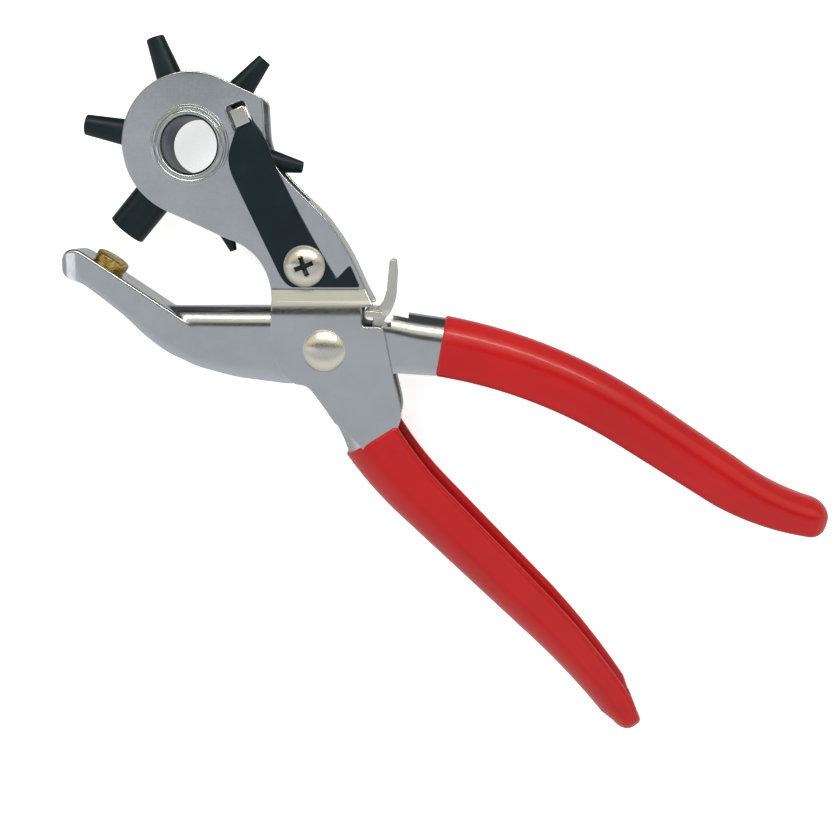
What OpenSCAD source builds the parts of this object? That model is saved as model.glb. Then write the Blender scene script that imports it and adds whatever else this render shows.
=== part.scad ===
// Revolving hole punch pliers, lying on their back. +Z is up through the pivot rivet and +X runs
// towards the handles. The origin is on the punch wheel's axis, half-way between the cheeks.

/* [Sheet metal] */
// Thickness of the lever sheet
sheet = 1.6; // [1.4:0.1:1.8]
// Free gap between the cheeks at the punch wheel
head_gap = 11; // [11:0.1:11.4]
// Outward step of each cheek above the pivot
joggle = 2.4; // [2.3:0.1:2.6]
// Radius of the rolled shoulder along the anvil lever's back
shoulder_r = 5; // [4:0.1:5.2]

/* [Punch wheel] */
// Distance from the wheel's axis to every tube's cutting edge
tube_reach = 29.6; // [29:0.1:30]
// Direction of the first tube, from +X
tube_angle = 49; // [47:0.5:51]
// Outer diameter of the six cutting edges
tip_od = [3.8, 4.9, 5.5, 10.3, 1.9, 3.1]; // [1.9:0.1:10.3]
// Diameter of the tapered tubes where the taper starts
root_od = 7.2; // [7:0.1:7.4]
// Distance from the axis to the wheel's flats
wheel_flat = 14.6; // [14:0.1:15]
// Radius of the hollow rivet's bore
peg_r = 7.3; // [7:0.1:7.5]

/* [Levers] */
// Pivot, to the right of the wheel's axis
pivot_x = 35; // [34.5:0.1:35.5]
// Pivot, below the wheel's axis
pivot_y = -54.3; // [-54.8:0.1:-53.8]
// How far the handles close
close_angle = 7.2; // [6.5:0.1:7.5]
// Gap that is left between anvil and tube when closed
closed_gap = 0.3; // [0.3:0.1:0.6]
// Half width of the jaw
jaw_half = 6; // [5.8:0.1:6.2]
// Half width of the anvil lever at the pivot and in its handle
lever_half = 7.4; // [7.2:0.1:7.4]
// Radius of the rounded head
head_r = 18.9; // [18.6:0.1:19.2]
// Thickness of the vinyl on the handles
vinyl = 0.8; // [0.6:0.1:1]

/* [Small parts] */
// Radius of the brass anvil
anvil_r = 4.6; // [4.4:0.1:4.8]
// Height of the brass anvil above the jaw
anvil_h = 2.9; // [2.6:0.1:3.1]
// Radius of the pivot rivet's domes
rivet_head_r = 5.85; // [5.6:0.05:6]
// Thickness of the index leaf
leaf_t = 1.2; // [1:0.1:1.3]
// Radius of the index screw's head
screw_head_r = 5.6; // [5.4:0.1:5.8]

/* [Hidden] */
$fn = 96;

fit = 0.03;            // radial gap of a fixed pin in its hole
run = 0.06;            // radial gap of a turning pin in its hole
far = 200;             // longer than anything on the tool
head_in = head_gap / 2;
head_out = head_in + sheet;
side_in = head_in + joggle;
side_out = side_in + sheet;
joggle_top = -37.8;    // where the cheeks start to step outward
joggle_end = -43.4;    // where they are flat again
pivot = [pivot_x, pivot_y];

// The jaw's line follows from the closed position: the anvil then faces the tube squarely.
jaw_slope = tube_angle + close_angle - 90;
jaw_dir = [cos(jaw_slope), sin(jaw_slope)];
jaw_up = [-sin(jaw_slope), cos(jaw_slope)];
face_closed = -(tube_reach + closed_gap) * [cos(tube_angle), sin(tube_angle)];
face_open = pivot + turned(face_closed - pivot, close_angle);
anvil_seat = face_open - anvil_h * jaw_up;
back_y = -42.9;        // level of the anvil lever's back beside the pivot
jaw_bend = anvil_seat + jaw_dir * ((back_y - anvil_seat[1]) / jaw_dir[1]);

// Handle paths: a start [x, y, heading, half height], then legs [length, turn, half height].
neck_start = [54, -52.5, -6, 8.3];
neck_legs = [[13.5, -3, 8]];
right_start = [66.5, -53.6, -10, 8.1];
right_legs = [[8, -3, 8], [50, -20, 7.6], [31, 0, 7.1], [25.6, 20, 5.2]];
lower_start = [47.2, -79.6, -57.5, 8.7];
lower_legs = [[23, 12.5, 7.9], [46, 0, 6.8], [36, -9, 5.2], [4, 0, 4]];
leg_steps = 5;         // points along each leg
open_past = 3;         // cuts through a handle's open side run on this far
grip_end = 1.2;        // solid vinyl past a channel's end

wheel_r = 15.5;
wheel_half = 5.3;
notch_w = 7;           // index notches between the wheel's tubes
notch_floor = 12.8;
stem_r = 2.6;          // threaded stems of the tubes
stem_from = 9.8;
taper_from = 18;
rivet_wall = 1.2;
ring_r = 9.9;          // rolled lips of the hollow rivet
washer_r = 10.4;
washer_t = 0.4;
lip_t = 1.1;
pivot_r = 3;
dome_h = 2.6;
pivot_washer_r = 6.5;

screw_at = [30, -31.7];
screw_r = 2.4;
spacer_r = 4;
leaf_heading = 113;    // from the screw to the nose
slot_w = 5.2;
slot_l = 7;
slot_at = [13.4, 7.3];
nose_at = [13.5, 7.9];
nose_size = [3.4, 2.9];

latch_at = [49.6, -50.6];
latch_pin_r = 1.2;
latch_t = 1.7;
bar_half = 9.2;        // the latch's cross bar reaches into both cheeks' notches
tab_half = 5;
notch_left = 45.1;
notch_top = -42.7;
notch_bottom = -47.9;

spring_wire = 1.6;
spring_r = 6.4;

function turned(p, a) = [p[0] * cos(a) - p[1] * sin(a), p[0] * sin(a) + p[1] * cos(a)];
function arc(c, r, a0, a1, n) =
    [for (i = [0:n]) let (a = a0 + (a1 - a0) * i / n) c + r * [cos(a), sin(a)]];
function bend(a, b, c, n) =
    [for (i = [0:n]) let (t = i / n) (1 - t) * (1 - t) * a + 2 * t * (1 - t) * b + t * t * c];
function reversed(v) = [for (i = [len(v) - 1:-1:0]) v[i]];

// One point on a leg that starts at p, a fraction t along it.
function on_leg(p, leg, t) =
    let (
        turn = leg[1] * t,
        chord = leg[0] * t * (turn == 0 ? 1 : sin(turn / 2) / (turn / 2 * PI / 180)),
        way = p[2] + turn / 2
    )
    [p[0] + chord * cos(way), p[1] + chord * sin(way), p[2] + turn, p[3] + (leg[2] - p[3]) * t];
function joints_of(p, legs, k = 0) =
    k == len(legs) ? [p] : concat([p], joints_of(on_leg(p, legs[k], 1), legs, k + 1));
function path_of(start, legs) =
    let (j = joints_of(start, legs))
    concat(
        [for (k = [0:len(legs) - 1]) for (i = [0:leg_steps - 1]) on_leg(j[k], legs[k], i / leg_steps)],
        [j[len(legs)]]
    );
// Points beside a path: side is 1 for its left and -1 for its right, more widens it.
function beside(path, side, more) =
    [for (p = path) [p[0], p[1]] + side * (p[3] + more) * [-sin(p[2]), cos(p[2])]];
// The path's outline with a round end, grown by more on its sides and by ahead at its end.
function outline(path, more, ahead = 0) =
    let (
        e = path[len(path) - 1],
        tip = [e[0], e[1]] + ahead * [cos(e[2]), sin(e[2])]
    )
    concat(beside(path, 1, more), arc(tip, e[3] + more, e[2] + 80, e[2] - 80, 10),
        reversed(beside(path, -1, more)));

module along_x(x0, x1) { translate([x0, 0, 0]) rotate([90, 0, 90]) linear_extrude(x1 - x0) children(); }
module along_y(y0, y1) { translate([0, y1, 0]) rotate([90, 0, 0]) linear_extrude(y1 - y0) children(); }
module thick(half) { linear_extrude(2 * half, center = true) children(); }
module both_sides() { children(); mirror([0, 0, 1]) children(); }
module pin(at, r, half) { translate([at[0], at[1], -half]) cylinder(h = 2 * half, r = r); }

// A ring about Z: inner radius, outer radius, from z0 to z1.
module ring(r0, r1, z0, z1) {
    translate([0, 0, z0]) difference() {
        cylinder(h = z1 - z0, r = r1);
        translate([0, 0, -1]) cylinder(h = z1 - z0 + 2, r = r0);
    }
}

// A spherical cap standing on z = 0.
module dome(r, h) {
    ball = (r * r + h * h) / (2 * h);
    intersection() {
        translate([0, 0, h - ball]) sphere(r = ball);
        cylinder(h = h + 1, r = r + 1);
    }
}

// Side view of a cheek: the outer face's distance from the middle, or less by `in`.
function cheek_line(in) = [
    [far / 4, head_out - in], [joggle_top, head_out - in],
    [joggle_end, side_out - in], [-far, side_out - in]
];

function head_outline() = concat(
    arc([0.8, 0], head_r, 68, 250, 30),
    [[8, -24.1]],
    bend([11, -25.2], [20.4, -29.2], [20.9, -41], 8),
    bend([20.6, -50], [20.9, -60.6], [27.2, -63.6], 6),
    [[30.5, -64.5], [33.6, -69], [36.8, -73.8]],
    reversed(beside([lower_start], -1, 0)),
    beside([lower_start], 1, 0),
    [[56, -71], [53.4, -60], [51.4, -49.3]],
    bend([51, notch_bottom], [50.6, notch_bottom], [49, notch_bottom], 2),
    bend([notch_left + 1.2, notch_bottom], [notch_left, notch_bottom],
        [notch_left, notch_bottom + 1.2], 4),
    [[notch_left, notch_top], [48.3, notch_top]],
    web_edge(),
    bend([30.4, -13.1], [18.9, -3.4], [19.8, 5], 8),
    bend([19.6, 10.6], [19.4, 12.4], [17.8, 12.9], 4)
);
// The wheel lever's right-hand edge, from its notch up to where the tubes sweep past.
function web_edge() = concat(
    [[48.3, -41.9], [47.2, -39.8]],
    bend([45.7, -36.8], [40.8, -24.9], [31.4, -14.2], 8)
);

module wheel_lever_cheeks() {
    both_sides() intersection() {
        linear_extrude(side_out) polygon(head_outline());
        along_x(-far, far) polygon(concat(cheek_line(0), reversed(cheek_line(sheet))));
    }
}

// The web that joins the cheeks behind the tubes' sweep, down to the notch.
module wheel_lever_back() {
    edge = web_edge();
    inward = 1.25 * sheet;
    intersection() {
        thick(side_out) polygon(concat(edge, reversed([for (p = edge) p - [inward, 0.6]])));
        along_x(-far, far) polygon(concat(cheek_line(0), reversed([for (p = cheek_line(0)) [p[0], -p[1]]])));
    }
}

// The space inside a channel whose web is `web` thick and lies on the path's given side.
module channel_hollow(path, side, half, web) {
    thick(half) polygon(concat(beside(path, side, -web), reversed(beside(path, -side, open_past))));
}

module handle_channel(path, side, half) {
    difference() {
        thick(half) polygon(outline(path, -vinyl));
        channel_hollow(path, side, half - sheet, vinyl + sheet);
    }
}

module nose_slot(half) {
    translate([slot_at[0], slot_at[1], 0]) rotate([0, 0, leaf_heading - 90])
        cube([slot_w, slot_l, 2 * half], center = true);
}

module wheel_lever() {
    color("lightsteelblue") difference() {
        union() {
            wheel_lever_cheeks();
            wheel_lever_back();
            handle_channel(path_of(lower_start, lower_legs), -1, side_out);
        }
        pin([0, 0], peg_r + rivet_wall + fit, far);
        pin(pivot, pivot_r + fit, far);
        pin(screw_at, screw_r + fit, far);
        nose_slot(far);
    }
}

// Outline of the anvil lever's jaw and middle, or of the hollow inside it.
function jaw_outline(in) =
    let (
        nose_r = 4.5 - in,
        top = jaw_bend - 26.5 * jaw_dir,
        nose = top - 4.5 * jaw_up,
        bottom = in == 0 ? [[54, -60.9], [25, -63.7]] : [[56, -90], [25, -90]]
    )
    concat(
        [neck_top(in)],
        [jaw_bend - in * [0.4, 1]],
        arc(nose, nose_r, 90 + jaw_slope, 180, 8),
        in == 0 ? [[nose[0] - nose_r, -35], [-31.8, -36]] : [[nose[0] - nose_r, -90]],
        in == 0 ? reversed(bend([25, -63.7], [-2, -61.5], [-14.5, -50], 10)) : [],
        reversed(bottom)
    );
function neck_top(in) = [54, back_y - 1.3 - in];

// Plan view of the same, seen from above: round nose, narrow jaw, wider middle.
module jaw_plan(in) {
    nose_x = jaw_bend[0] - 26.5 * jaw_dir[0] - 4.5 * jaw_up[0] - 4.5 + jaw_half;
    translate([nose_x, 0]) circle(r = jaw_half - in);
    polygon([
        [nose_x, in - jaw_half], [-8, in - jaw_half], [14, in - lever_half], [70, in - lever_half],
        [70, lever_half - in], [14, lever_half - in], [-8, jaw_half - in], [nose_x, jaw_half - in]
    ]);
}

// End view of the middle: a bar with rolled shoulders, its back at y = top.
module rolled_bar(half, top, r) {
    for (s = [-1, 1]) translate([top - r, s * (half - r)]) circle(r = r);
    polygon([
        [top, r - half], [top - r, -half], [-far / 2, -half],
        [-far / 2, half], [top - r, half], [top, half - r]
    ]);
}

module jaw_solid(in) {
    intersection() {
        thick(lever_half - in) polygon(jaw_outline(in));
        along_y(-100, 0) jaw_plan(in);
        union() {
            translate([-far + jaw_bend[0], -far / 2, -far / 2]) cube([far, far, far]);
            along_x(jaw_bend[0] - 0.1, 80) rolled_bar(lever_half - in, back_y - in, shoulder_r - in);
        }
    }
}

module neck_solid(in) {
    path = path_of(neck_start, neck_legs);
    tilt = neck_start[2] - 2.6;
    open = in > 0 ? 30 : 0;
    intersection() {
        thick(lever_half - in) polygon(concat(beside(path, 1, -in), reversed(beside(path, -1, open))));
        translate([neck_start[0], neck_top(0)[1], 0]) rotate([0, 0, tilt])
            along_x(-4, 30) rolled_bar(lever_half - in, -in, shoulder_r - in);
    }
}

// Where the latch comes through the lever's back.
module latch_window() {
    translate([notch_left - 0.6, -48.3, -far / 2]) cube([8.6, 20, far]);
    translate([notch_left, -49, -tab_half - 0.5]) cube([12.6, 20, 2 * tab_half + 1]);
}

module anvil_lever() {
    color("lightsteelblue") difference() {
        union() {
            difference() {
                jaw_solid(0);
                jaw_solid(sheet);
            }
            difference() {
                neck_solid(0);
                neck_solid(sheet);
            }
            handle_channel(path_of(right_start, right_legs), 1, lever_half);
        }
        intersection() {
            latch_window();
            translate([0, -50.5, -far / 2]) cube([far, far, far]);
        }
        pin(pivot, pivot_r + run, far);
        pin(latch_at, latch_pin_r + fit, far);
        at_anvil() translate([0, 0, -far / 8]) cylinder(h = far / 4, r = 2 + fit);
    }
}

// A frame on the jaw's top face, +Z away from the jaw.
module at_anvil() {
    translate([anvil_seat[0], anvil_seat[1], 0]) rotate([0, 0, jaw_slope]) rotate([-90, 0, 0])
        children();
}

module anvil() {
    edge = 0.7;
    color("darkgoldenrod") at_anvil() {
        rotate_extrude() polygon([
            [0, -sheet], [2, -sheet], [2, 0], [anvil_r - 0.3, 0], [anvil_r, 0.3],
            [anvil_r, anvil_h - edge], [anvil_r - edge, anvil_h], [0, anvil_h]
        ]);
        translate([0, 0, -sheet - 0.9]) cylinder(h = 0.9, r = 3);
    }
}

module punch_wheel() {
    color("dimgray") difference() {
        intersection() {
            cylinder(h = 2 * wheel_half, r = wheel_r, center = true);
            rotate([0, 0, tube_angle - 30])
                cylinder(h = 3 * wheel_half, r = wheel_flat / cos(30), center = true, $fn = 6);
        }
        cylinder(h = far, r = peg_r + rivet_wall + run, center = true);
        for (k = [0:5]) {
            rotate([0, 0, tube_angle + 60 * k - 30])
                translate([notch_floor, -notch_w / 2, -far / 2]) cube([far, notch_w, far]);
            rotate([0, 0, tube_angle + 60 * k]) translate([stem_from - 0.4, 0, 0])
                rotate([0, 90, 0]) cylinder(h = far, r = stem_r + fit);
        }
    }
}

// Tube number k: a threaded stem, a round body on the wheel's flat, and a cone to its edge.
module punch_tube(k) {
    tip_r = tip_od[k] / 2;
    straight = tip_od[k] > root_od;
    body_r = max(root_od / 2, tip_r);
    bore_r = straight ? 3.6 : tip_r - 0.35;
    lip = straight ? 0.8 : 0;
    color([0.1, 0.15, 0.17]) rotate([0, 0, tube_angle + 60 * k]) rotate([0, 90, 0]) difference() {
        union() {
            translate([0, 0, stem_from]) cylinder(h = wheel_flat - stem_from, r = stem_r);
            translate([0, 0, wheel_flat]) cylinder(h = taper_from - wheel_flat, r = body_r);
            translate([0, 0, taper_from])
                cylinder(h = tube_reach - taper_from, r1 = body_r, r2 = tip_r);
        }
        translate([0, 0, wheel_flat + 1]) cylinder(h = far, r = bore_r);
        translate([0, 0, tube_reach - lip]) cylinder(h = 2 * lip + 0.01, r1 = bore_r, r2 = bore_r + 2 * lip);
    }
}

module wheel_rivet() {
    lip_z = head_out + washer_t;
    wall_r = peg_r + rivet_wall;
    color("silver") {
        ring(peg_r, wall_r, -lip_z - lip_t, lip_z + lip_t);
        both_sides() translate([0, 0, lip_z]) difference() {
            cylinder(h = lip_t, r1 = ring_r, r2 = ring_r - 0.5);
            translate([0, 0, -1]) cylinder(h = lip_t + 2, r = wall_r - 0.2);
        }
    }
}

module wheel_washer() {
    color("silver") ring(peg_r + rivet_wall + fit, washer_r, head_out, head_out + washer_t);
}

module index_leaf() {
    color([0.1, 0.15, 0.17]) translate([0, 0, head_out]) difference() {
        linear_extrude(leaf_t) polygon(concat(
            [[12.6, 3.9], [16.1, 7]],
            bend([19.4, 3.4], [21.2, 1], [21.7, -3], 4),
            bend([24.3, -9.4], [32.6, -27], [38.4, -35], 8),
            [[42, -31.6], [44.8, -37.4], [25.6, -37.4]],
            bend([22.8, -35], [15.4, -18], [12, -9.9], 6),
            bend([10.7, -6.4], [10.1, -2.6], [10.8, -1], 3)
        ));
        translate([screw_at[0], screw_at[1], -1]) cylinder(h = 5, r = screw_r + fit);
    }
}

// The nose hangs in the cheek's slot and stops just short of the wheel.
module index_nose() {
    floor_z = wheel_half + 0.3;
    color("gainsboro") translate([nose_at[0], nose_at[1], 0]) rotate([0, 0, leaf_heading - 90]) {
        translate([-nose_size[0] / 2, -nose_size[1] / 2, floor_z])
            cube([nose_size[0], nose_size[1], head_out - floor_z + 1]);
        translate([-nose_size[0] / 2, -nose_size[1] / 2 - 1.4, head_out + leaf_t])
            cube([nose_size[0], nose_size[1] + 1.4, 0.6]);
        translate([-nose_size[0] / 2, -nose_size[1] / 2, head_out + 1])
            cube([nose_size[0], nose_size[1] - 0.4, leaf_t - 0.4]);
    }
}

module index_screw() {
    head_z = head_out + leaf_t;
    shank = head_z + head_out + 2.4;
    color("gainsboro") translate([screw_at[0], screw_at[1], 0]) {
        translate([0, 0, head_z - shank]) cylinder(h = shank, r = screw_r);
        translate([0, 0, head_z]) difference() {
            dome(screw_head_r, 2.7);
            for (a = [20, 110]) rotate([0, 0, a]) translate([-2.3, -0.5, 1.1]) cube([4.6, 1, 3]);
        }
    }
}

module index_spacer() {
    color("silver") translate([screw_at[0], screw_at[1], 0])
        ring(screw_r + fit, spacer_r, -head_in, head_in);
}

module index_nut() {
    color("silver") translate([screw_at[0], screw_at[1], -head_out - 2.2]) difference() {
        cylinder(h = 2.2, r = 4.6, $fn = 6);
        translate([0, 0, -1]) cylinder(h = 5, r = screw_r + fit);
    }
}

module pivot_rivet() {
    color("gainsboro") translate([pivot[0], pivot[1], 0]) {
        cylinder(h = 2 * side_out, r = pivot_r, center = true);
        both_sides() translate([0, 0, side_out]) dome(rivet_head_r, dome_h);
    }
}

module pivot_washer() {
    gap = 0.05;
    color("silver") translate([pivot[0], pivot[1], 0])
        ring(pivot_r + fit, pivot_washer_r, lever_half + gap, side_in - gap);
}

// Two and a half turns around the rivet's sleeve, with a leg under each lever's web.
module return_spring() {
    wire_r = spring_wire / 2;
    pitch = spring_wire - 0.1;
    color("darkgray") translate([pivot[0], pivot[1], 0]) {
        rotate_extrude() for (k = [-1:1]) translate([spring_r, k * pitch]) circle(r = wire_r, $fn = 32);
        spring_leg(22, pitch, 12);
        spring_leg(-52, -pitch, 17);
    }
}
module spring_leg(way, level, reach) {
    rotate([0, 0, way]) translate([spring_r, 0, level]) rotate([0, 90, 0])
        cylinder(h = reach - spring_r, r = 0.7, $fn = 32);
}

// Side view of the latch: eye, stem, cross bar in the notches and thumb tab.
module lock_latch() {
    eye_r = 2.7;
    bar = [[notch_left + 1, -43.6], [50.2, -43.9], [50.4, -45.5], [notch_left + 1, -45.2]];
    color("silver") difference() {
        union() {
            pin(latch_at, eye_r, tab_half);
            thick(bar_half) polygon(bar);
            thick(tab_half) polygon(concat(
                [[50, -49], [47.7, -49], [48.2, -45.2], [48.6, -43.7]],
                bend([48.8, -43.7], [50.8, -42.6], [51.8, -38.4], 5),
                [[52.5, -31.2]],
                bend([52.6, -30.4], [53.5, -29.9], [54.4, -30.5], 4),
                [[54.6, -34]],
                bend([54.2, -40], [53.6, -44], [51.6, -45.6], 5)
            ));
        }
        pin(latch_at, latch_pin_r + run, far);
    }
}

module latch_pin() { color("silver") pin(latch_at, latch_pin_r, lever_half); }

// Vinyl sleeve around a handle channel, open along the side that faces the other handle.
module grip(start, legs, side, half) {
    path = path_of(start, legs);
    color([0.72, 0.12, 0.12]) difference() {
        thick(half + vinyl) polygon(outline(path, 0, grip_end));
        thick(half) polygon(outline(path, -vinyl));
        channel_hollow(path, side, half - sheet - vinyl, sheet + 2 * vinyl);
    }
    color([0.72, 0.12, 0.12]) grip_lining(path, side, half);
}

// Vinyl inside the channel and over its two free edges.
module grip_lining(path, side, half) {
    difference() {
        thick(half - sheet) polygon(outline(path, -vinyl - 0.01));
        channel_hollow(path, side, half - sheet - vinyl, sheet + 2 * vinyl);
        thick(half) polygon(concat(
            beside(path, side, open_past),
            reversed(beside(path, side, -vinyl - sheet))
        ));
    }
}

module grip_right() { grip(right_start, right_legs, 1, lever_half); }
module grip_lower() { grip(lower_start, lower_legs, -1, side_out); }

wheel_lever();
anvil_lever();
punch_wheel();
punch_tube(0);  // punch_tube_1
punch_tube(1);  // punch_tube_2
punch_tube(2);  // punch_tube_3
punch_tube(3);  // punch_tube_4
punch_tube(4);  // punch_tube_5
punch_tube(5);  // punch_tube_6
wheel_rivet();
wheel_washer();  // wheel_washer_front
mirror([0, 0, 1]) wheel_washer();  // wheel_washer_back
index_leaf();
index_nose();
index_screw();
index_spacer();
index_nut();
pivot_rivet();
pivot_washer();  // pivot_washer_front
mirror([0, 0, 1]) pivot_washer();  // pivot_washer_back
return_spring();
anvil();
lock_latch();
latch_pin();
grip_right();
grip_lower();
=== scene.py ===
"""The looks of a revolving hole punch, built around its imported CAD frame.

Lengths in this script are in millimetres until mesh_piece turns them into metres. The frame's
origin is on the punch wheel's axis: +X runs towards the handles and +Z out of the front cheek.
"""

import math

import bmesh
import bpy
from mathutils import Matrix, Vector
from mathutils.geometry import tessellate_polygon


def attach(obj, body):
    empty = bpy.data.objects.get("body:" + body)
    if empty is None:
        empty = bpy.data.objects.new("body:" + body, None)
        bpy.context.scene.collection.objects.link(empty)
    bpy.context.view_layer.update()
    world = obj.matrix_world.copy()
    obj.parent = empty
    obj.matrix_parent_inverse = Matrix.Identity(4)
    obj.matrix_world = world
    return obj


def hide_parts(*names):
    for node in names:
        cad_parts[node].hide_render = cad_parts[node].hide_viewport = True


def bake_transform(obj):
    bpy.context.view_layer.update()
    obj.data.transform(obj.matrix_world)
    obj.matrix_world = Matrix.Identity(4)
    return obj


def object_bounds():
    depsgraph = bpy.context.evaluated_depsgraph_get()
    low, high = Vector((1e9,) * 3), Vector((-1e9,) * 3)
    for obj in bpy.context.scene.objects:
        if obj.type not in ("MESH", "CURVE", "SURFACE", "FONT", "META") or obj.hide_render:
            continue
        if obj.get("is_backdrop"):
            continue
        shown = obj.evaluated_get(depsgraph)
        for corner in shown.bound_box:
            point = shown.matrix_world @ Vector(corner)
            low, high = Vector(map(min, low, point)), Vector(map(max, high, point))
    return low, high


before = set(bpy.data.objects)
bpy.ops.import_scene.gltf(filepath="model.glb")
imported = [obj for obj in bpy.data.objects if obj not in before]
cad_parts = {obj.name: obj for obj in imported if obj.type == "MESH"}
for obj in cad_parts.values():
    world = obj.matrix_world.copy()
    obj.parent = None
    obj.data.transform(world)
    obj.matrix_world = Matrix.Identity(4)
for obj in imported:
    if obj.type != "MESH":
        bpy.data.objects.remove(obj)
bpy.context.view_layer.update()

MM = 0.001

# Sheet metal
SHEET = 1.6
HEAD_IN = 5.5
HEAD_OUT = HEAD_IN + SHEET
JOGGLE = 2.4
JOGGLE_TOP = -37.9
JOGGLE_SLOPE = 0.4
JOGGLE_ROLL = 4.4
SIDE_OUT = HEAD_OUT + JOGGLE
JAW_HALF = 6.0
LEVER_HALF = 7.4
SHOULDER = 5.9
VINYL = 0.8
PIVOT = (35.0, -54.3)

# Punch wheel and its hollow rivet
TUBE_ANGLE = 49
TUBE_REACH = 29.6
TUBE_TIPS = (3.8, 4.9, 5.5, 10.3, 1.9, 3.1)
TUBE_ROOT = 7.2
WHEEL_FLAT = 14.6
WHEEL_HALF = 5.3
FLAT_HALF = 4.39
NOTCH_FLOOR = 12.8
NOTCH_HALF = 3.5
PEG_R = 7.3
SLEEVE_R = 8.5
CHEEK_BORE = 8.8
WHEEL_BORE = 8.56
WASHER_BORE = 8.55
WASHER_R = 10.4
WASHER_T = 0.4

# Small parts
SCREW_AT = (30.0, -31.7)
LEAF_HEADING = 113
LEAF_T = 1.2
NOSE_AT = (13.5, 7.9)
SLOT_AT = (13.4, 7.3)
SCREW_R = 5.6
SCREW_DOME = 2.7
RIVET_R = 5.85
RIVET_DOME = 2.6
LATCH_AT = (49.6, -50.6)
ANVIL_R = 4.6
ANVIL_H = 2.9

# Handle paths: a start (x, y, heading, half height), then legs (length, turn, half height)
RIGHT_START = (66.5, -53.6, -10, 8.1)
RIGHT_LEGS = ((8, -3, 8), (50, -20, 7.6), (31, 0, 7.1), (25.6, 20, 5.2))
LOWER_START = (47.2, -79.6, -57.5, 8.7)
LOWER_LEGS = ((23, 12.5, 7.9), (46, 0, 6.8), (36, -9, 5.2), (4, 0, 4))

# The photograph's viewpoint: close above the tool, tilted a little towards the handles
CAMERA_AT = (66.175, -14.327, 320)
CAMERA_TILT = (-10.62, 1.0924)


# ---------------- plane geometry

def turned(point, degrees):
    c, s = math.cos(math.radians(degrees)), math.sin(math.radians(degrees))
    return (point[0] * c - point[1] * s, point[0] * s + point[1] * c)


def moved(points, at, degrees=0):
    """Points turned about the origin, then moved by at."""
    spun = [turned(p, degrees) for p in points]
    return [(x + at[0], y + at[1]) for x, y in spun]


def arc(centre, radius, start, end, steps):
    angles = [math.radians(start + (end - start) * i / steps) for i in range(steps + 1)]
    return [(centre[0] + radius * math.cos(a), centre[1] + radius * math.sin(a)) for a in angles]


def rectangle(x0, x1, y0, y1):
    return [(x0, y0), (x1, y0), (x1, y1), (x0, y1)]


def bend(a, b, c, steps):
    """A quadratic curve from a to c that heads for b."""
    points = []
    for i in range(steps + 1):
        t = i / steps
        wa, wb, wc = (1 - t) ** 2, 2 * t * (1 - t), t * t
        points.append((wa * a[0] + wb * b[0] + wc * c[0], wa * a[1] + wb * b[1] + wc * c[1]))
    return points


def smooth(points, steps):
    """A Catmull-Rom curve through the points."""
    ends = [points[0], *points, points[-1]]
    curve = []
    for k in range(len(points) - 1):
        p0, p1, p2, p3 = ends[k:k + 4]
        for i in range(steps):
            t = i / steps
            curve.append(tuple(
                0.5 * (2 * b + (c - a) * t + (2 * a - 5 * b + 4 * c - d) * t * t
                       + (3 * b - a - 3 * c + d) * t ** 3)
                for a, b, c, d in zip(p0, p1, p2, p3)))
    return curve + [tuple(points[-1])]


def without_repeats(points, gap=0.05):
    kept = []
    for p in points:
        if not kept or math.dist(p, kept[-1]) > gap:
            kept.append(p)
    if math.dist(kept[0], kept[-1]) < gap:
        kept.pop()
    return kept


def signed_area(points):
    return sum(p[0] * q[1] - q[0] * p[1] for p, q in zip(points, points[1:] + points[:1])) / 2


def inset(points, amount):
    """A closed outline moved inwards (to its left) by amount."""
    result = []
    count = len(points)
    for i, p in enumerate(points):
        before = Vector(p) - Vector(points[i - 1])
        after = Vector(points[(i + 1) % count]) - Vector(p)
        n1 = Vector((-before.y, before.x)).normalized()
        n2 = Vector((-after.y, after.x)).normalized()
        middle = (n1 + n2).normalized()
        stretch = min(1 / max(middle.dot(n1), 0.3), 2)
        q = Vector(p) + middle * amount * stretch
        result.append((q.x, q.y))
    return result


def walk(start, legs, spacing):
    """Stations (x, y, heading, half height) along a handle path."""
    x, y, heading, half = start
    stations = [start]
    for length, turn, end_half in legs:
        steps = max(2, round(length / spacing))
        for i in range(1, steps + 1):
            swing = turn * i / steps
            radians = math.radians(swing) / 2
            chord = length * i / steps * (math.sin(radians) / radians if swing else 1)
            way = math.radians(heading + swing / 2)
            stations.append((x + chord * math.cos(way), y + chord * math.sin(way),
                             heading + swing, half + (end_half - half) * i / steps))
        x, y, heading, half = stations[-1]
    return stations


def beside(station, offset):
    """The point at offset to the left of a station."""
    x, y, heading = station[:3]
    a = math.radians(heading)
    return (x - offset * math.sin(a), y + offset * math.cos(a))


def eased(t):
    t = min(max(t, 0), 1)
    return t * t * (3 - 2 * t)


# ---------------- shells: (points, faces)

def joined(*shells):
    points, faces = [], []
    for more_points, more_faces in shells:
        shift = len(points)
        points += more_points
        faces += [tuple(i + shift for i in face) for face in more_faces]
    return points, faces


def placed(shell, matrix):
    return [tuple(matrix @ Vector(p)) for p in shell[0]], shell[1]


def mirrored(shell):
    """The same shell on the other side of the tool's middle plane."""
    return [(x, y, -z) for x, y, z in shell[0]], [tuple(reversed(face)) for face in shell[1]]


def frame_at(x, y, z=0, heading=0, pitch=0):
    turn = Matrix.Rotation(math.radians(heading), 4, "Z")
    return Matrix.Translation((x, y, z)) @ turn @ Matrix.Rotation(math.radians(pitch), 4, "Y")


def loft(rings, caps=True):
    """A skin over closed rings that all have the same number of points."""
    size = len(rings[0])
    points = [p for ring in rings for p in ring]
    faces = []
    for k in range(len(rings) - 1):
        for i in range(size):
            j = (i + 1) % size
            faces.append((k * size + i, k * size + j, (k + 1) * size + j, (k + 1) * size + i))
    if caps:
        last = (len(rings) - 1) * size
        faces.append(tuple(reversed(range(size))))
        faces.append(tuple(range(last, last + size)))
    return points, faces


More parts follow.
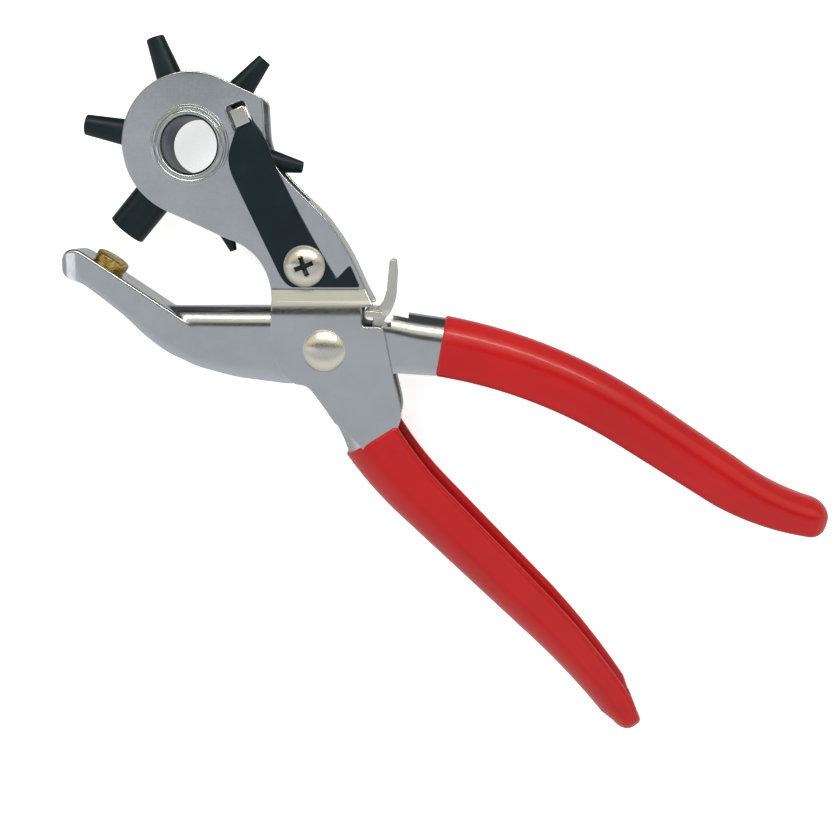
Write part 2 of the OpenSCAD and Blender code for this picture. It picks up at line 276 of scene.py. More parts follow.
def lathe(profile, segments=96):
    """A profile of (radius, height) turned about +Z; a profile that is a closed loop repeats its start."""
    rings = []
    for radius, height in profile:
        angles = [2 * math.pi * i / segments for i in range(segments)]
        rings.append([(radius * math.cos(a), radius * math.sin(a), height) for a in angles])
    return loft(rings, caps=False)


def rounded(corners, steps=4):
    """An open profile of (radius, height, rounding), with each corner replaced by an arc-like curve."""
    profile = []
    for i, (r, h, rounding) in enumerate(corners):
        here = Vector((r, h))
        if not rounding or i in (0, len(corners) - 1):
            profile.append((r, h))
            continue
        before = Vector(corners[i - 1][:2]) - here
        after = Vector(corners[i + 1][:2]) - here
        a = here + before.normalized() * min(rounding, before.length * 0.49)
        c = here + after.normalized() * min(rounding, after.length * 0.49)
        profile += bend(tuple(a), (r, h), tuple(c), steps)
    return profile


def plate(outline, low, high, rim, holes=(), steps=4):
    """A flat plate between two heights, with rounded rims round its outline and its holes."""
    loops = [outline if signed_area(outline) > 0 else outline[::-1]]
    loops += [hole if signed_area(hole) < 0 else hole[::-1] for hole in holes]
    turns = [math.radians(90 * i / steps) for i in range(steps + 1)]
    levels = [(rim * (1 - math.cos(a)), high - rim * (1 - math.sin(a))) for a in reversed(turns)]
    levels += [(rim * (1 - math.cos(a)), low + rim * (1 - math.sin(a))) for a in turns]
    walls, top, bottom = [], [], []
    for loop in loops:
        rings = [[(x, y, z) for x, y in inset(loop, amount)] for amount, z in levels]
        walls.append(loft(rings[::-1], caps=False))
        top.append(rings[0])
        bottom.append(rings[-1])
    return joined(*walls, flat_cap(top, False), flat_cap(bottom, True))


def flat_cap(loops, facing_down):
    flat = [[Vector((x, y, 0)) for x, y, _ in loop] for loop in loops]
    points = [p for loop in loops for p in loop]
    faces = []
    for a, b, c in tessellate_polygon(flat):
        area = (Vector(points[b]) - Vector(points[a])).cross(Vector(points[c]) - Vector(points[a])).z
        if abs(area) < 1e-9:
            continue
        faces.append((a, b, c) if (area > 0) != facing_down else (a, c, b))
    return points, faces


def tube(centreline, radius, sides):
    """A round bar along 3-D points, with flat ends."""
    line = [Vector(p) for p in centreline]
    rings = []
    normal = Vector((0, 0, 1))
    for i, p in enumerate(line):
        way = (line[min(i + 1, len(line) - 1)] - line[max(i - 1, 0)]).normalized()
        normal = (normal - way * normal.dot(way)).normalized()
        other = way.cross(normal)
        ring = []
        for k in range(sides):
            a = 2 * math.pi * k / sides
            ring.append(tuple(p + radius * (math.cos(a) * normal + math.sin(a) * other)))
        rings.append(ring)
    return loft(rings)


# ---------------- meshes

def mesh_piece(name, shell, merge=0.004):
    """A smooth-shaded object made of a shell in millimetres."""
    mesh = bpy.data.meshes.new(name)
    points, faces = shell
    mesh.from_pydata([Vector(p) * MM for p in points], [], faces)
    work = bmesh.new()
    work.from_mesh(mesh)
    bmesh.ops.remove_doubles(work, verts=work.verts, dist=merge * MM)
    bmesh.ops.dissolve_degenerate(work, dist=merge * MM / 2, edges=work.edges)
    bmesh.ops.recalc_face_normals(work, faces=work.faces)
    work.to_mesh(mesh)
    work.free()
    mesh.shade_smooth()
    piece = bpy.data.objects.new(name, mesh)
    bpy.context.scene.collection.objects.link(piece)
    return piece


def baked(piece):
    """The piece with its modifiers applied."""
    graph = bpy.context.evaluated_depsgraph_get()
    mesh = bpy.data.meshes.new_from_object(piece.evaluated_get(graph), depsgraph=graph)
    piece.modifiers.clear()
    piece.data = mesh
    mesh.shade_smooth()


def cut(piece, *shells):
    """Takes closed shells out of the piece."""
    cutters = []
    for shell in shells:
        cutter = mesh_piece("cutter", shell)
        cutters.append(cutter)
        step = piece.modifiers.new("cut", "BOOLEAN")
        step.object = cutter
        step.operation = "DIFFERENCE"
        step.solver = "EXACT"
    baked(piece)
    for cutter in cutters:
        bpy.data.objects.remove(cutter)


def softened(piece, width, angle=40):
    step = piece.modifiers.new("rim", "BEVEL")
    step.width = width * MM
    step.segments = 2
    step.limit_method = "ANGLE"
    step.angle_limit = math.radians(angle)
    step.use_clamp_overlap = False
    step.harden_normals = False
    baked(piece)


def sliced(piece, at, normal):
    """Adds a line of edges where a plane crosses the piece."""
    work = bmesh.new()
    work.from_mesh(piece.data)
    bmesh.ops.bisect_plane(work, geom=work.verts[:] + work.edges[:] + work.faces[:],
                           dist=1e-7, plane_co=Vector(at) * MM, plane_no=normal)
    work.to_mesh(piece.data)
    work.free()


def displaced(piece, shift):
    """Moves every vertex by shift(x, y, z), all in millimetres."""
    for vertex in piece.data.vertices:
        x, y, z = vertex.co / MM
        vertex.co += Vector(shift(x, y, z)) * MM
    piece.data.update()


def join_into(target, *others):
    """Adds the other objects' meshes to the target's."""
    work = bmesh.new()
    for piece in (target, *others):
        work.from_mesh(piece.data)
    work.to_mesh(target.data)
    work.free()
    target.data.shade_smooth()
    for piece in others:
        bpy.data.objects.remove(piece)


def finished(piece, material, body, nodes):
    """Gives the piece its material, its place in the mechanism and its shading."""
    piece.data.materials.clear()
    piece.data.materials.append(material)
    piece.data.set_sharp_from_angle(angle=math.radians(48))
    shading = piece.modifiers.new("shading", "WEIGHTED_NORMAL")
    shading.weight = 60
    shading.keep_sharp = True
    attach(piece, body)
    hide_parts(*nodes)


def painted(piece, material, chosen):
    """Gives a second material to the faces whose middle, in millimetres, passes chosen(x, y, z)."""
    piece.data.materials.append(material)
    for face in piece.data.polygons:
        if chosen(*(face.center / MM)):
            face.material_index = 1


# ---------------- materials

def fresh_material(name):
    material = bpy.data.materials.new(name)
    material.use_nodes = True
    tree = material.node_tree
    return material, tree, tree.nodes["Principled BSDF"]


def object_texture(tree, kind, per_mm, stretch):
    """A texture with per_mm features a millimetre, finer along an axis where stretch is above 1."""
    coordinates = tree.nodes.new("ShaderNodeTexCoord")
    mapping = tree.nodes.new("ShaderNodeMapping")
    mapping.inputs["Scale"].default_value = [per_mm / MM * s for s in stretch]
    texture = tree.nodes.new(kind)
    texture.inputs["Scale"].default_value = 1
    tree.links.new(coordinates.outputs["Object"], mapping.inputs["Vector"])
    tree.links.new(mapping.outputs["Vector"], texture.inputs["Vector"])
    return texture


def object_noise(tree, per_mm, stretch=(1, 1, 1), detail=4):
    noise = object_texture(tree, "ShaderNodeTexNoise", per_mm, stretch)
    noise.inputs["Detail"].default_value = detail
    noise.inputs["Roughness"].default_value = 0.55
    return noise.outputs["Fac"]


def object_cells(tree, per_mm):
    """Distance to the middle of the nearest cell of a Voronoi pattern."""
    return object_texture(tree, "ShaderNodeTexVoronoi", per_mm, (1, 1, 1)).outputs["Distance"]


def ranged(tree, value, low, high, start=0.35, end=0.65):
    """The value's stretch from start to end, mapped to low..high and clamped."""
    node = tree.nodes.new("ShaderNodeMapRange")
    node.inputs["From Min"].default_value = start
    node.inputs["From Max"].default_value = end
    node.inputs["To Min"].default_value = low
    node.inputs["To Max"].default_value = high
    tree.links.new(value, node.inputs["Value"])
    return node.outputs["Result"]


def blended(tree, share, first, second):
    """Mixes two colours, each a tuple or another node's output."""
    node = tree.nodes.new("ShaderNodeMix")
    node.data_type = "RGBA"
    tree.links.new(share, node.inputs["Factor"])
    for socket, colour in ((node.inputs["A"], first), (node.inputs["B"], second)):
        if isinstance(colour, tuple):
            socket.default_value = (*colour, 1)
        else:
            tree.links.new(colour, socket)
    return node.outputs["Result"]


def added(tree, first, second):
    node = tree.nodes.new("ShaderNodeMath")
    node.operation = "ADD"
    tree.links.new(first, node.inputs[0])
    tree.links.new(second, node.inputs[1])
    return node.outputs["Value"]


def bumped(tree, bsdf, height, depth_mm):
    node = tree.nodes.new("ShaderNodeBump")
    node.inputs["Strength"].default_value = 1
    node.inputs["Distance"].default_value = depth_mm * MM
    tree.links.new(height, node.inputs["Height"])
    tree.links.new(node.outputs["Normal"], bsdf.inputs["Normal"])


def edge_wear_and_highlight(tree, start=0.52, end=0.6):
    """0 on flats and 1 on sharp convex edges, where the materials lighten their colour: wear, and painted
    highlight on the rims.
    """
    geometry = tree.nodes.new("ShaderNodeNewGeometry")
    return ranged(tree, geometry.outputs["Pointiness"], 0, 1, start, end)


def metal(name, light, dark, smoothest, roughest, grain=(1, 1, 1), grain_depth=0.002):
    """Plated or turned metal: cloudy colour, uneven polish, fine grain and brighter edges, which are a
    painted highlight along the rims.
    """
    material, tree, bsdf = fresh_material(name)
    clouds = object_noise(tree, 0.07, detail=5)
    specks = object_noise(tree, 3.0, detail=2)
    fine = object_noise(tree, 2.2, grain, detail=3)
    body = blended(tree, ranged(tree, clouds, 0, 1), light, dark)
    flecked = blended(tree, ranged(tree, specks, 0, 0.2, 0.6, 0.75), body, dark)
    # Painted highlight: convex edges and rims lighter than the metal itself.
    worn_and_highlit = blended(tree, edge_wear_and_highlight(tree), flecked, tuple(min(c * 1.25, 1) for c in light))
    tree.links.new(worn_and_highlit, bsdf.inputs["Base Color"])
    polish = ranged(tree, added(tree, clouds, fine), smoothest, roughest, 0.75, 1.3)
    tree.links.new(polish, bsdf.inputs["Roughness"])
    bsdf.inputs["Metallic"].default_value = 1
    bumped(tree, bsdf, fine, grain_depth)
    return material


def brass_metal():
    """Turned brass whose working face is tarnished and dented."""
    material, tree, bsdf = fresh_material("brass")
    patches = object_noise(tree, 0.5, detail=6)
    scuffs = object_noise(tree, 2.5, (1, 1, 0.3), detail=4)
    dents = object_cells(tree, 0.9)
    body = blended(tree, ranged(tree, patches, 0, 1, 0.42, 0.6), (0.80, 0.58, 0.19), (0.42, 0.24, 0.06))
    worn_and_highlit = blended(tree, edge_wear_and_highlight(tree), body, (0.95, 0.78, 0.40))
    tree.links.new(worn_and_highlit, bsdf.inputs["Base Color"])
    tree.links.new(ranged(tree, scuffs, 0.22, 0.45), bsdf.inputs["Roughness"])
    bsdf.inputs["Metallic"].default_value = 1
    bumped(tree, bsdf, added(tree, ranged(tree, dents, 0, 1, 0.0, 0.5), scuffs), 0.10)
    return material


def black_oxide():
    """Blue-black finish on hardened steel: semi-gloss, with faint cloudy wear and lighter grey-blue edges,
    partly wear and partly painted highlight.
    """
    material, tree, bsdf = fresh_material("black_oxide")
    clouds = object_noise(tree, 0.12, detail=6)
    grain = object_noise(tree, 3.0, detail=3)
    body = blended(tree, ranged(tree, clouds, 0, 1), (0.003, 0.009, 0.012), (0.005, 0.014, 0.018))
    # Lighter grey-blue edges: partly wear, partly painted highlight.
    worn_and_highlit = blended(tree, edge_wear_and_highlight(tree, 0.54, 0.66), body, (0.06, 0.085, 0.09))
    tree.links.new(worn_and_highlit, bsdf.inputs["Base Color"])
    tree.links.new(ranged(tree, clouds, 0.30, 0.44), bsdf.inputs["Roughness"])
    bsdf.inputs["Specular IOR Level"].default_value = 0.3
    bumped(tree, bsdf, grain, 0.006)
    return material


def red_vinyl():
    """Dip-coated vinyl: glossy, slightly wavy, deeper red where the coat is thick, with a painted highlight:
    lighter, oranger red on its rounded edges.
    """
    material, tree, bsdf = fresh_material("red_vinyl")
    waves = object_noise(tree, 0.05, detail=2)
    peel = object_noise(tree, 0.9, detail=3)
    body = blended(tree, ranged(tree, waves, 0, 1), (0.47, 0.004, 0.005), (0.42, 0.003, 0.005))
    # Painted highlight: rounded edges lighter and oranger, as the lit top of a grip.
    worn_and_highlit = blended(tree, edge_wear_and_highlight(tree, 0.53, 0.62), body, (0.52, 0.018, 0.014))
    tree.links.new(worn_and_highlit, bsdf.inputs["Base Color"])
    tree.links.new(ranged(tree, peel, 0.30, 0.38), bsdf.inputs["Roughness"])
    bsdf.inputs["Coat Weight"].default_value = 0.3
    bsdf.inputs["Specular IOR Level"].default_value = 0.35
    bsdf.inputs["Coat Roughness"].default_value = 0.07
    bumped(tree, bsdf, added(tree, waves, ranged(tree, peel, 0, 0.03, 0, 1)), 0.25)
    return material


NICKEL = metal("nickel_sheet", (0.66, 0.69, 0.71), (0.60, 0.63, 0.65), 0.15, 0.25, (0.5, 0.5, 2), 0.0005)
BRIGHT = metal("nickel_bright", (0.86, 0.84, 0.78), (0.76, 0.74, 0.68), 0.26, 0.38, grain_depth=0.0007)
ZINC = metal("zinc_steel", (0.60, 0.61, 0.62), (0.46, 0.47, 0.48), 0.30, 0.48)
WHEEL = metal("wheel_steel", (0.34, 0.35, 0.36), (0.24, 0.25, 0.26), 0.28, 0.45)
SPRING = metal("spring_steel", (0.36, 0.36, 0.37), (0.24, 0.24, 0.25), 0.25, 0.40)
# Dark steel used as painted shade: it darkens the rivet's bore and the screw's cross recess.
SHADE_PAINT_STEEL = metal("steel_painted_as_shade", (0.10, 0.12, 0.15), (0.04, 0.05, 0.07), 0.30, 0.50)
ZINC_RING = metal("zinc_ring", (0.60, 0.66, 0.66), (0.46, 0.51, 0.52), 0.16, 0.30)
BLACK = black_oxide()
BRASS = brass_metal()
VINYL_RED = red_vinyl()


# ---------------- the wheel lever

def cheek_rise(y):
    """How far the joggle lifts the cheek at y: a crease, a straight slope and a soft roll."""
    down = JOGGLE_TOP - y
    if down <= 0:
        return 0
    straight = JOGGLE / JOGGLE_SLOPE - JOGGLE_ROLL / 2
    if down < straight:
        return JOGGLE_SLOPE * down
    rest = 1 - min((down - straight) / JOGGLE_ROLL, 1)
    return JOGGLE - JOGGLE_SLOPE * JOGGLE_ROLL / 2 * rest ** 2


def back_edge():
    """The head's right-hand edge, from the notch up to where the tubes sweep past."""
    return smooth([(47.9, -41.2), (45.7, -36.6), (43.5, -31.6), (41.1, -27), (38.3, -22.6),
                   (35, -18.3), (31, -14.4)], 5)


def head_outline():
    """Side view of a cheek, anticlockwise from the top of the head."""
    return without_repeats([
        *arc((0.8, 0), 18.9, 68, 250, 90),
        *bend((-5.66, -17.76), (3, -21.6), (8, -24.1), 8),
        *bend((8, -24.1), (9.6, -24.8), (11, -25.2), 3),
        *bend((11, -25.2), (20.4, -29.2), (20.9, -41), 20),
        *bend((20.9, -41), (20.5, -46), (20.6, -50), 8),
        *bend((20.6, -50), (20.9, -60.6), (27.2, -63.6), 18),
        *smooth([(27.2, -63.6), (30.5, -64.6), (34, -69), (37.6, -74.4)], 6),
        *bend((37.6, -74.4), (41.2, -76.6), (47.6, -84.5), 10),
        (56.3, -79.7),
        *smooth([(54.7, -76), (55.8, -71), (53.4, -60), (51.4, -49.6)], 6),
        *bend((51.4, -49.6), (51, -47.9), (49.4, -47.9), 4),
        *bend((46.6, -47.9), (45.1, -47.9), (45.1, -46.4), 5),
        *bend((45.1, -43), (45.4, -42.6), (46.4, -42.6), 3),
        *bend((48, -42.6), (48.4, -42.2), (47.9, -41.2), 3),
        *back_edge(),
        *smooth([(31, -14.4), (26.7, -10.2), (23.3, -6.2), (21.2, -2.2), (20.1, 1.2), (19.8, 4)], 5),
        *bend((19.8, 4), (19.7, 8), (19.6, 10.6), 5),
        *bend((19.6, 10.6), (19.4, 12.4), (17.8, 12.9), 6),
    ])


def nose_slot():
    corners = rectangle(-2.6, 2.6, -3.5, 3.5)
    soft = []
    for i, corner in enumerate(corners):
        before = Vector(corners[i - 1])
        after = Vector(corners[(i + 1) % 4])
        here = Vector(corner)
        start = here + (before - here).normalized()
        end = here + (after - here).normalized()
        soft += bend(tuple(start), corner, tuple(end), 4)
    return moved(soft, SLOT_AT, LEAF_HEADING - 90)


def cheek():
    """The front cheek, still flat."""
    return plate(head_outline(), HEAD_IN, HEAD_OUT, 0.42, [nose_slot(), arc((0, 0), CHEEK_BORE, 0, 354, 59)])


def ribbon(edge, inward, half_at, thickness):
    """A wall between the cheeks: edge points, each with the direction inwards, and its half height."""
    rings = []
    for (x, y), (nx, ny) in zip(edge, inward):
        h = half_at(y)
        outer, inner = (x, y), (x + nx * thickness, y + ny * thickness)
        rings.append([(*outer, -h), (*inner, -h), (*inner, h), (*outer, h)])
    return loft(rings)


def inward_normals(edge):
    """Unit normals to the left of a run of points."""
    normals = []
    for i in range(len(edge)):
        a, b = Vector(edge[max(i - 1, 0)]), Vector(edge[min(i + 1, len(edge) - 1)])
        way = (b - a).normalized()
        normals.append((-way.y, way.x))
    return normals


def back_web():
    """The web between the cheeks behind the tubes, down to the notch."""
    edge = without_repeats(back_edge())
    return ribbon(edge, inward_normals(edge), lambda y: HEAD_OUT - 0.4 + cheek_rise(y), SHEET)


def lower_fold():
    """The rounded web that joins the cheeks where the lower handle starts."""
    edge = without_repeats(smooth(
        [(34, -69), (37.2, -74.6), (39.7, -80.6), (41.3, -85.3), (43.8, -88.9)], 8))
    top = SIDE_OUT - 0.25
    turns = [math.radians(d) for d in range(0, 90, 6)]
    rings = []
    for i, ((x, y), (nx, ny)) in enumerate(zip(edge, inward_normals(edge))):
        depth = 0.8 + 7.9 * eased((i - 5) / 17)
        upper = [(depth * (1 - math.sin(a)), top * math.cos(a) ** 0.8) for a in turns] + [(0, 0)]
        lower = [(n, -z) for n, z in reversed(upper[:-1])]
        inside = [(n + SHEET, z * (top - SHEET) / top) for n, z in reversed(upper + lower)]
        rings.append([(x + n * nx, y + n * ny, z) for n, z in upper + lower + inside])
    return loft(rings)


def wheel_lever():
    front = cheek()
    plates = mesh_piece("wheel_lever", joined(front, mirrored(front)))
    lines = 26
    length = JOGGLE / JOGGLE_SLOPE + JOGGLE_ROLL / 2
    for i in range(lines + 1):
        sliced(plates, (0, JOGGLE_TOP - length * i / lines, 0), (0, 1, 0))
    displaced(plates, lambda x, y, z: (0, 0, math.copysign(cheek_rise(y), z)))
    web = mesh_piece("web", joined(back_web(), lower_fold()))
    softened(web, 0.3)
    join_into(plates, web)
    finished(plates, NICKEL, "wheel_lever", ["wheel_lever"])


# ---------------- the anvil lever

# The jaw's line follows from the closed position, as in the CAD model
CLOSE_ANGLE = 7.2
CLOSED_GAP = 0.3
JAW_SLOPE = TUBE_ANGLE + CLOSE_ANGLE - 90
JAW_UP = turned((0, 1), JAW_SLOPE)
JAW_DIR = turned((1, 0), JAW_SLOPE)
JAW_LENGTH = 26.5
NOSE_R = 4.5
NOSE_LENGTH = 5.4
RING_STEP = 0.9
SEAM_STEP = 0.3
HOLLOW_BOTTOM = -80
NECK_END = 70
NECK_SLOPE = 0.14

# The rolled back is level up to FALL_START and has fallen by BACK_FALL at FALL_END
BACK_Y = -42.9
BACK_FALL = 1.4
FALL_START = 20
FALL_END = 54


def anvil_face():
    """Middle of the anvil's top face at rest."""
    closed = turned((-(TUBE_REACH + CLOSED_GAP), 0), TUBE_ANGLE)
    opened = turned((closed[0] - PIVOT[0], closed[1] - PIVOT[1]), CLOSE_ANGLE)
    return (PIVOT[0] + opened[0], PIVOT[1] + opened[1])


def anvil_seat():
    x, y = anvil_face()
    return (x - ANVIL_H * JAW_UP[0], y - ANVIL_H * JAW_UP[1])


def jaw_bend():
    """Where the sloping jaw meets the level back."""
    x, y = anvil_seat()
    t = (BACK_Y - y) / JAW_DIR[1]
    return (x + t * JAW_DIR[0], y + t * JAW_DIR[1])


def jaw_level(x):
    """Level of the jaw's sloping top at x, with the nose's rounding at its left end."""
    bx, by = jaw_bend()
    nose_x, nose_y = nose_centre()
    if x < nose_x + NOSE_R * JAW_UP[0]:
        return nose_y + math.sqrt(max(NOSE_R ** 2 - (nose_x - x) ** 2, 0))
    return by + (x - bx) * math.tan(math.radians(JAW_SLOPE))


def back_level(x):
    """Level of the rolled back at x."""
    if x >= FALL_END:
        return BACK_Y - BACK_FALL - (x - FALL_END) * NECK_SLOPE
    return BACK_Y - BACK_FALL * (max(x - FALL_START, 0) / (FALL_END - FALL_START)) ** 1.5


def nose_centre():
    bx, by = jaw_bend()
    return (bx - JAW_LENGTH * JAW_DIR[0] - NOSE_R * JAW_UP[0],
            by - JAW_LENGTH * JAW_DIR[1] - NOSE_R * JAW_UP[1])


def belly_line(x):
    """Lower edge of the anvil lever's flanks."""
    belly = [(-37.6, -32.5), (-36.3, -34.8), (-34.5, -35.9), (-31.7, -35.9), (-25.9, -40.2),
             (-19.6, -45.3), (-14.4, -50.6), (-8.5, -55.2), (-0.1, -59.1), (10.6, -61.8),
             (25.2, -63.7), (40, -62.4), (54, -60.7), (68, -61.6), (82, -63)]
    for (x0, y0), (x1, y1) in zip(belly, belly[1:]):
        if x <= x1:
            return y0 + (y1 - y0) * max(x - x0, 0) / (x1 - x0)
    return belly[-1][1]


def soft_belly(x):
    """The lower edge with its corners eased."""
    span = 1.8
    return sum(belly_line(x + span * k / 3) for k in range(-3, 4)) / 7


def lever_half_at(x):
    return JAW_HALF + (LEVER_HALF - JAW_HALF) * eased((x + 8) / 22)


def shoulder_at(x):
    """Radius of the rolled back: it grows to nearly a half round where the grip starts."""
    return SHOULDER + 1.35 * eased((x - 46) / 16)


def softer_max(a, b, reach):
    """The larger of two levels, with a fillet where they cross."""
    near = max(reach - abs(a - b), 0) / reach
    return max(a, b) + near * near * reach / 4


def lever_top(x, z, half, inside):
    """Level of the lever's skin at x and z: the flat jaw or the rolled back, whichever is higher."""
    rim = min(0.9, half * 0.9)
    over = max(abs(z) - (half - rim), 0)
    flat = jaw_level(x) - inside - rim + math.sqrt(max(rim ** 2 - over ** 2, 0))
    if x < jaw_bend()[0] - 6:
        return flat
    radius = shoulder_at(x) - inside
    over = max(abs(z) - (half - radius), 0)
    roll = back_level(x) - inside - radius + math.sqrt(max(radius ** 2 - over ** 2, 0))
    return softer_max(flat, roll, 1.7 - 1.5 * (z / half) ** 2)


def lever_section(x, half, bottom, inside=0):
    """A closed ring: the front flank, over the back to the other flank, and straight below."""
    sweep = [math.radians(-90 + 180 * i / 44) for i in range(45)]
    skin = [(x, lever_top(x, half * math.sin(a), half, inside), half * math.sin(a)) for a in sweep]
    level = max(skin[0][1], bottom + 0.1)
    flank = [(x, bottom + (level - bottom) * t, half) for t in (0.98, 0.75, 0.5, 0.25, 0)]
    skin = [(px, max(py, level), pz) for px, py, pz in skin]
    return skin + flank + [(px, py, -pz) for px, py, pz in reversed(flank)]


def nose_rings(left, half, inside, bottom_at):
    """Sections that open up from the nose's tip, as seen from above a half circle."""
    rings = []
    for degrees in (4, 12, 20, 28, 37, 46, 55, 64, 73, 82):
        a = math.radians(degrees)
        x = left + NOSE_LENGTH * (1 - math.cos(a))
        rings.append(lever_section(x, half * math.sin(a), bottom_at(x), inside))
    return rings


def lever_rings(start, end, inside, bottom_at):
    """Evenly spaced sections behind the nose."""
    steps = round((end - start) / RING_STEP)
    stops = [start + (end - start) * i / steps for i in range(steps + 1)]
    return [lever_section(x, lever_half_at(x) - inside, bottom_at(x), inside) for x in stops]


def anvil_lever_body():
    """The lever from the jaw's nose to the neck inside the grip, not yet hollow."""
    left = nose_centre()[0] - NOSE_R
    seam = left + NOSE_LENGTH
    half = JAW_HALF - SEAM_STEP
    rings = nose_rings(left, half, 0, soft_belly)
    rings.append(lever_section(seam - SEAM_STEP / 2, half, soft_belly(seam)))
    return loft(rings + lever_rings(seam, NECK_END, 0, soft_belly))


def anvil_lever_hollow():
    """The space under the folded sheet, open below and at the neck."""
    left = nose_centre()[0] - NOSE_R + SHEET
    rings = nose_rings(left, JAW_HALF - SHEET, SHEET, lambda x: HOLLOW_BOTTOM)
    return loft(rings + lever_rings(left + NOSE_LENGTH, NECK_END + 2, SHEET, lambda x: HOLLOW_BOTTOM))


def block(x0, x1, y0, y1, z0, z1):
    return loft([[(x, y, z) for x, y in rectangle(x0, x1, y0, y1)] for z in (z0, z1)])


def anvil_lever():
    lever = mesh_piece("anvil_lever", anvil_lever_body())
    bar_window = block(44.5, 53.1, -48.3, -30, -20, 20)
    tab_window = block(45.1, 57.7, -49, -30, -5.5, 5.5)
    cut(lever, anvil_lever_hollow(), bar_window, tab_window)
    finished(lever, NICKEL, "anvil_lever", ["anvil_lever"])


def at_anvil():
    """A frame on the jaw's top face with +Z away from the jaw."""
    x, y = anvil_seat()
    up = Vector((*JAW_UP, 0))
    side = Vector((0, 0, 1))
    along = side.cross(up)
    return Matrix((
        (along.x, side.x, up.x, x),
        (along.y, side.y, up.y, y),
        (along.z, side.z, up.z, 0),
        (0, 0, 0, 1),
    ))


def anvil():
    profile = rounded([
        (0.01, -0.8, 0), (ANVIL_R - 0.4, -0.8, 0.1), (ANVIL_R - 0.4, 0.25, 0.1),
        (ANVIL_R - 0.02, 0.5, 0.25), (ANVIL_R, ANVIL_H - 0.3, 0.5), (ANVIL_R - 0.9, ANVIL_H, 0.5),
        (0.01, ANVIL_H - 0.12, 0),
    ])
    button = mesh_piece("anvil", placed(lathe(profile), at_anvil()))
    finished(button, BRASS, "anvil_lever", ["anvil"])


# ---------------- the grips

WALL = SHEET + 2 * VINYL
LIP = 1.5
STATION_STEP = 1.6


def skin_half(half, thick_half, tight, steps=14):
    """A handle's outside in (offset, z): round on the web's side, straight to its open side's lips."""
    half, thick_half = half - tight, thick_half - tight
    radius = min(thick_half, half * 1.15)
    turns = [math.radians(90 - 180 * i / (2 * steps)) for i in range(2 * steps + 1)]
    nose = [((half - radius) + radius * math.cos(a), thick_half * math.sin(a)) for a in turns]
    foot = LIP - half
    straight = [(foot + (half - radius - foot) * t, thick_half) for t in (0, 0.5)]
    return straight + nose + [(n, -z) for n, z in reversed(straight)]


def lip(half, thick_half, tight, steps=8):
    """The back lip's rounding, from the outside to the inside of the wall."""
    middle = thick_half - WALL / 2
    across = WALL / 2 - tight
    turns = [math.radians(180 * i / steps) for i in range(1, steps)]
    return [(LIP - half - (LIP - tight) * math.sin(a), -middle - across * math.cos(a)) for a in turns]


def channel_section(side, half, thick_half, tight=0):
    """The U of a dipped handle: its outside, a lip, its inside and the other lip."""
    outer = skin_half(half, thick_half, tight)
    inner = skin_half(half - WALL, thick_half - WALL, -tight)
    foot = LIP - half
    inner[0], inner[-1] = (foot, inner[0][1]), (foot, inner[-1][1])
    back = lip(half, thick_half, tight)
    front = [(n, -z) for n, z in reversed(back)]
    return [(side * n, z) for n, z in outer + back + inner[::-1] + front]


def solid_section(side, half, thick_half):
    """The same outside without the hollow."""
    outer = skin_half(half, thick_half, 0)
    back = lip(half, thick_half, 0)[:4]
    front = [(n, -z) for n, z in reversed(back)]
    return [(side * n, z) for n, z in outer + back + front]


def ring_at(station, section):
    points = []
    for offset, z in section:
        x, y = beside(station, offset)
        points.append((x, y, z))
    return points


def ahead_of(station, distance):
    x, y, heading, half = station
    a = math.radians(heading)
    return (x + distance * math.cos(a), y + distance * math.sin(a), heading, half)


def grip_channel(start, legs, side, thick_half):
    """The open part of the handle, with a softened rim where it starts."""
    stations = walk(start, legs, STATION_STEP)
    rings = []
    for along, tight in ((0, 0.7), (0.12, 0.4), (0.35, 0.15), (0.7, 0)):
        station = ahead_of(stations[0], along)
        rings.append(ring_at(station, channel_section(side, station[3], thick_half, tight)))
    for station in stations[1:]:
        rings.append(ring_at(station, channel_section(side, station[3], thick_half)))
    return loft(rings)


def grip_tip(start, legs, side, thick_half):
    """The solid, rounded end beyond the channel."""
    end = walk(start, legs, STATION_STEP)[-1]
    section = solid_section(side, end[3], thick_half)
    reach = end[3] + 1.2
    rings = [ring_at(end, section)]
    for degrees in (4, 8, 16, 24, 32, 40, 48, 56, 64, 72, 79, 85):
        a = math.radians(degrees)
        shrink = math.cos(a)
        small = [(n * shrink, z * (0.25 + 0.75 * shrink) * shrink ** 0.35) for n, z in section]
        rings.append(ring_at(ahead_of(end, reach * math.sin(a)), small))
    return loft(rings)


def grip(name, body, start, legs, side, thick_half):
    shape = (start, legs, side, thick_half)
    handle = mesh_piece(name, grip_channel(*shape), 0.001)
    join_into(handle, mesh_piece("tip", grip_tip(*shape), 0.001))
    finished(handle, VINYL_RED, body, [name])


# ---------------- wheel, tubes and rivets

def wheel_outline():
    """A hexagon of flats for the tubes, with a notch between each two."""
    outline = []
    for k in range(6):
        heading = TUBE_ANGLE + 60 * k
        outline += moved([(WHEEL_FLAT, -FLAT_HALF), (WHEEL_FLAT, FLAT_HALF)], (0, 0), heading)
        outline += moved([(NOTCH_FLOOR, -NOTCH_HALF), (NOTCH_FLOOR, NOTCH_HALF)], (0, 0), heading + 30)
    return outline


def punch_wheel():
    shell = plate(wheel_outline(), -WHEEL_HALF, WHEEL_HALF, 0.35, [arc((0, 0), WHEEL_BORE, 0, 355, 71)])
    wheel = mesh_piece("punch_wheel", shell)
    finished(wheel, WHEEL, "punch_wheel", ["punch_wheel"])


